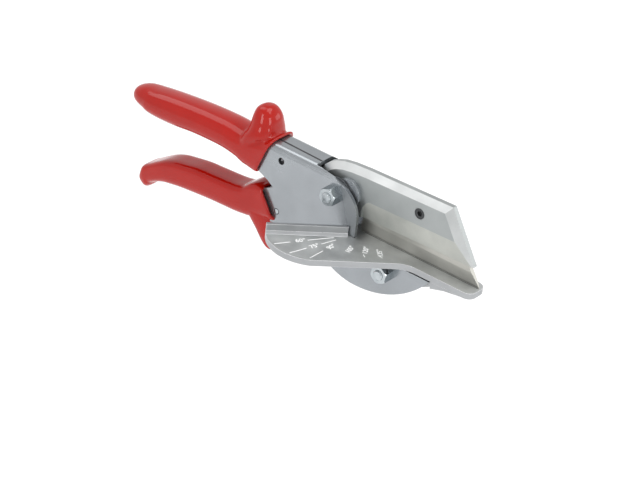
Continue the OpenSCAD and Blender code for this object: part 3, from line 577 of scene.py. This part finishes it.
# Lower grip: the same red dip over the lower tang, with a flat top, a finger guard and a hooked end.
# Its mouth stands a little off the steel, so a dark gap shows round the lever.
lower_stations = [
    (-117.4, -47.2, -117.0, -47.6, 0.4), (-117.7, -46.0, -114.3, -48.7, 3.4),
    (-117.9, -44.0, -112.7, -47.9, 5.4), (-117.5, -41.8, -111.6, -46.8, 6.6),
    (-116.6, -39.2, -110.7, -45.7, 7.2), (-115.5, -36.4, -110.1, -44.5, 7.4),
    (-111.7, -33.9, -107.7, -43.1, 7.5), (-107.5, -31.2, -105.1, -41.9, 7.6),
    (-102.8, -28.5, -101.7, -40.8, 7.6), (-97.5, -26.5, -97.0, -40.0, 7.6),
    (-91.0, -25.2, -91.0, -39.1, 7.6), (-83.0, -23.9, -82.1, -38.3, 7.6), (-75.0, -23.4, -73.6, -37.6, 7.6),
    (-66.9, -22.9, -65.2, -37.2, 7.6), (-60.8, -22.4, -57.3, -36.9, 7.6), (-56.7, -21.6, -51.9, -36.3, 7.6),
    (-54.0, -20.7, -48.5, -35.7, 7.6), (-50.5, -17.9, -45.3, -34.0, 7.6), (-47.6, -16.2, -41.4, -32.4, 7.6),
    (-45.3, -15.8, -37.2, -31.4, 7.7), (-43.4, -16.0, -33.8, -30.8, 7.9)]
lower_square_top = [(0, 3.4), (6, 4.4), (17, 4.4), (20, 5.5)]
lower_square_low = [(0, 2.8), (16, 2.8), (20, 5.0)]
finger_guard = [
    (-49.6, -37.6, -36.6, 0.8), (-49.0, -38.6, -36.0, 2.2), (-47.6, -39.6, -35.6, 3.6),
    (-45.4, -41.2, -35.3, 4.8), (-42.6, -43.0, -34.9, 5.8), (-39.6, -45.2, -34.4, 6.5),
    (-36.6, -48.0, -34.0, 7.0), (-33.6, -51.0, -33.9, 7.3), (-31.0, -53.0, -35.0, 7.3)]
guard_square = [(0, 2.6), (8, 2.6)]
lower_sleeve = hoops(lower_stations, lower_square_top, lower_square_low)
lower_grip = skin("lower_grip_sleeve", [lower_sleeve, upright(finger_guard, guard_square)], red,
                  "blade_lever")
dipped(lower_grip, passes=6)
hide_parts("lower_grip")


# Blade carrier: a forged steel plate, ground to a wide bright chamfer along its crest and its front.
# Two rivets hold its root between the lower lever's sides, and its flanks taper down to the blade.
forged = bare_metal("satin_forging", dark=(0.33, 0.35, 0.35), light=(0.40, 0.42, 0.42),
                    smooth=0.32, rough=0.46, stretch=(400.0, 6000.0, 6000.0), cloud_size=50.0, depth=2e-6)
# Partly painted reflection: the flanks are ground, and also painted lighter and warmer as the pale floor
# reflected in them.
ground_flank_and_reflection = bare_metal("ground_flank_and_reflection", dark=(0.43, 0.44, 0.415), light=(0.56, 0.57, 0.535),
                          smooth=0.5, rough=0.64, stretch=(400.0, 6000.0, 6000.0), cloud_size=70.0,
                          depth=3e-6)
ground_crest = bare_metal("ground_crest", dark=(0.60, 0.615, 0.615), light=(0.72, 0.735, 0.735),
                          smooth=0.28, rough=0.40, stretch=(5000.0, 400.0, 400.0), cloud_size=60.0,
                          depth=3e-6)
ground_front = bare_metal("ground_front", dark=(0.46, 0.475, 0.475), light=(0.56, 0.575, 0.575),
                          smooth=0.30, rough=0.42, stretch=(400.0, 5000.0, 400.0), cloud_size=60.0,
                          depth=3e-6)
blade_carrier = softened("blade_carrier", forged, "blade_lever", width=0.22, least=8.2)


def crest_chamfer(normal, middle):
    """The faces that look to a side and up."""
    sideways, upward = 0.4, 0.1
    return (np.abs(normal[:, 1]) > sideways) & (normal[:, 2] > upward)


def front_chamfer(normal, middle):
    """Those of the chamfer's faces that look forward too."""
    forward = 0.25
    return crest_chamfer(normal, middle) & (normal[:, 0] > forward)


def tapered_flank(normal, middle):
    """The faces that look to a side and a little down. They take a lighter, warmer finish, partly ground
    metal and partly a painted reflection of the pale floor.
    """
    sideways, least_down, most_down = 0.9, -0.1, -0.3
    return (np.abs(normal[:, 1]) > sideways) & (normal[:, 2] < least_down) & (normal[:, 2] > most_down)


second_finish(blade_carrier, ground_crest, crest_chamfer)
second_finish(blade_carrier, ground_front, front_chamfer)
second_finish(blade_carrier, ground_flank_and_reflection, tapered_flank)


# Blade: a thin strip of tool steel, ground across to a tall bevel and a short keen edge.
# It stands in the carrier's slot, and the blade screw passes through it.
ground = bare_metal("ground_blade", dark=(0.38, 0.375, 0.345), light=(0.48, 0.475, 0.44),
                    smooth=0.30, rough=0.44, stretch=(9000.0, 500.0, 500.0), cloud_size=60.0, depth=2e-6)
softened("blade", ground, "blade_lever", width=0.04, steps=2, wide=0.4)


# Blade screw: a steel socket screw, blackened in hot oil and rubbed bright on its edges.
# It is sunk into the carrier's near face, passes through the blade and is threaded into the far side.
oxide = clouded("black_oxide", dark=(0.055, 0.058, 0.06), light=(0.22, 0.23, 0.235),
                smooth=0.3, rough=0.5, cloud_size=500.0)
tree = oxide.node_tree
tree.nodes["Principled BSDF"].inputs["Metallic"].default_value = 0.6
rub = added(tree, "ShaderNodeGroup", {"Amount": 0.6}, node_tree=wear)
tree.links.new(rub.outputs["Mask"], tree.nodes["tone"].inputs["Factor"])
softened("blade_screw", oxide, "blade_lever", width=0.12)


# Opening spring: one hard wire, wound three turns round its pin, with a leg to each channel.
# The wire is round and even, so it is a circle carried along the path of its middle.
wire_r = 0.55
coil_r = 2.35
coil_step = 1.55
coil_turns = 3
coil_points, leg_points, around = 109, 12, 16
coil_middle = np.array([-33.2, -25.4])
lower_end = np.array([-54.0, -32.5])
upper_end = np.array([-25.0, 6.35])
leg_in = np.arctan2(coil_middle[1] - coil_r - lower_end[1], coil_middle[0] - lower_end[0])
leg_out = np.arctan2(upper_end[1] - coil_middle[1], upper_end[0] - coil_middle[0] - coil_r)
sweep = leg_out - leg_in + 2 * np.pi * coil_turns
half_coil = coil_step * sweep / (4 * np.pi)
s = np.linspace(0, 1, coil_points)
a = leg_in - np.pi / 2 + sweep * s
coil = np.stack([coil_middle[0] + coil_r * np.cos(a), half_coil * (2 * s - 1),
                 coil_middle[1] + coil_r * np.sin(a)], -1)
leg = np.linspace(0, 1, leg_points, endpoint=False)[:, None]
first = np.array([lower_end[0], -half_coil, lower_end[1]])
last = np.array([upper_end[0], half_coil, upper_end[1]])
path = np.vstack([first + leg * (coil[0] - first), coil,
                  coil[-1] + (leg + 1 / leg_points) * (last - coil[-1])])
along = np.gradient(path, axis=0)
along /= np.linalg.norm(along, axis=1, keepdims=True)
side = np.cross(along, (0, 1, 0))
side /= np.linalg.norm(side, axis=1, keepdims=True)
over = np.cross(along, side)
t = np.linspace(0, 2 * np.pi, around, endpoint=False)[None, :, None]
tube = path[:, None] + wire_r * (np.cos(t) * side[:, None] + np.sin(t) * over[:, None])
wire = bare_metal("oiled_wire", dark=(0.22, 0.22, 0.23), light=(0.30, 0.30, 0.31),
                  smooth=0.25, rough=0.4, stretch=(2000.0, 2000.0, 2000.0), cloud_size=90.0, depth=1e-6)
spring = skin("opening_spring_wire", [at_pivot(tube)], wire, "blade_lever")
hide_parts("opening_spring")


# Studio: a plain pale floor in a bright room that is a little darker overhead, with five soft boxes:
# two above, a strip on each side of the camera and a small one behind.
# The floor lies just below the lowest point that the lower grip reaches at its widest opening.
grip_reach, floor_half = 0.110, 4
floor_z = pivot[2] - grip_reach
corners = [(x * floor_half, y * floor_half, floor_z) for x, y in ((-1, -1), (1, -1), (1, 1), (-1, 1))]
mesh = bpy.data.meshes.new("floor")
mesh.from_pydata(corners, [], [(0, 1, 2, 3)])
pale = bpy.data.materials.new("pale_floor")
pale.use_nodes = True
board = pale.node_tree.nodes["Principled BSDF"]
board.inputs["Base Color"].default_value = (0.52, 0.52, 0.52, 1)
board.inputs["Roughness"].default_value = 0.9
board.inputs["Emission Color"].default_value = (1, 1, 1, 1)
board.inputs["Emission Strength"].default_value = 0.5
mesh.materials.append(pale)
floor = placed("floor", mesh)

world = bpy.data.worlds.new("soft_room")
bpy.context.scene.world = world
world.use_nodes = True
room = world.node_tree
look = added(room, "ShaderNodeTexCoord")
parts = added(room, "ShaderNodeSeparateXYZ", {"Vector": look.outputs["Generated"]})
shade = added(room, "ShaderNodeMapRange", {"Value": parts.outputs["Z"], "From Min": 0.45, "From Max": 0.8,
                                           "To Min": 0.88, "To Max": 0.70})
room.links.new(shade.outputs["Result"], room.nodes["Background"].inputs["Strength"])
room.nodes["Background"].inputs["Color"].default_value = (1, 1, 1, 1)

# Each box: its place, its width and height, and its power
target = np.array([0.02, 0.0, -0.02])
for name, spot, size, power in (("ceiling", (-0.55, 0.05, 0.93), (0.50, 0.80), 2.1),
                                ("left_strip", (-0.13, -1.09, 0.45), (0.34, 0.80), 3.3),
                                ("right_strip", (1.06, -0.28, 0.35), (0.34, 0.70), 3.0),
                                ("back_box", (0.75, 0.80, 0.25), (0.50, 0.40), 1.1),
                                ("top_box", (0.35, 0.25, 1.10), (0.80, 0.80), 4.8)):
    lamp = bpy.data.lights.new(name, "AREA")
    lamp.shape = "RECTANGLE"
    lamp.size, lamp.size_y = size
    lamp.energy = power
    box = placed(name, lamp)
    box.visible_camera = False
    box.location = spot
    away = np.array(spot) - target
    tilt, heading = np.arctan2(np.hypot(away[0], away[1]), away[2]), np.arctan2(away[1], away[0])
    box.rotation_euler = (tilt, 0, heading + np.pi / 2)

# The camera has a long lens, at the photograph's angle, tilted a little.
camera = bpy.data.cameras.new("camera")
camera.lens = 146.25
camera.sensor_width = 36
viewer = placed("camera", camera)
viewer.location = (0.61741, -0.84761, 0.57293)
viewer.rotation_euler = np.radians((59.377, -6.324, 38.845))
bpy.context.scene.camera = viewer
bpy.context.scene.view_settings.view_transform = "Standard"
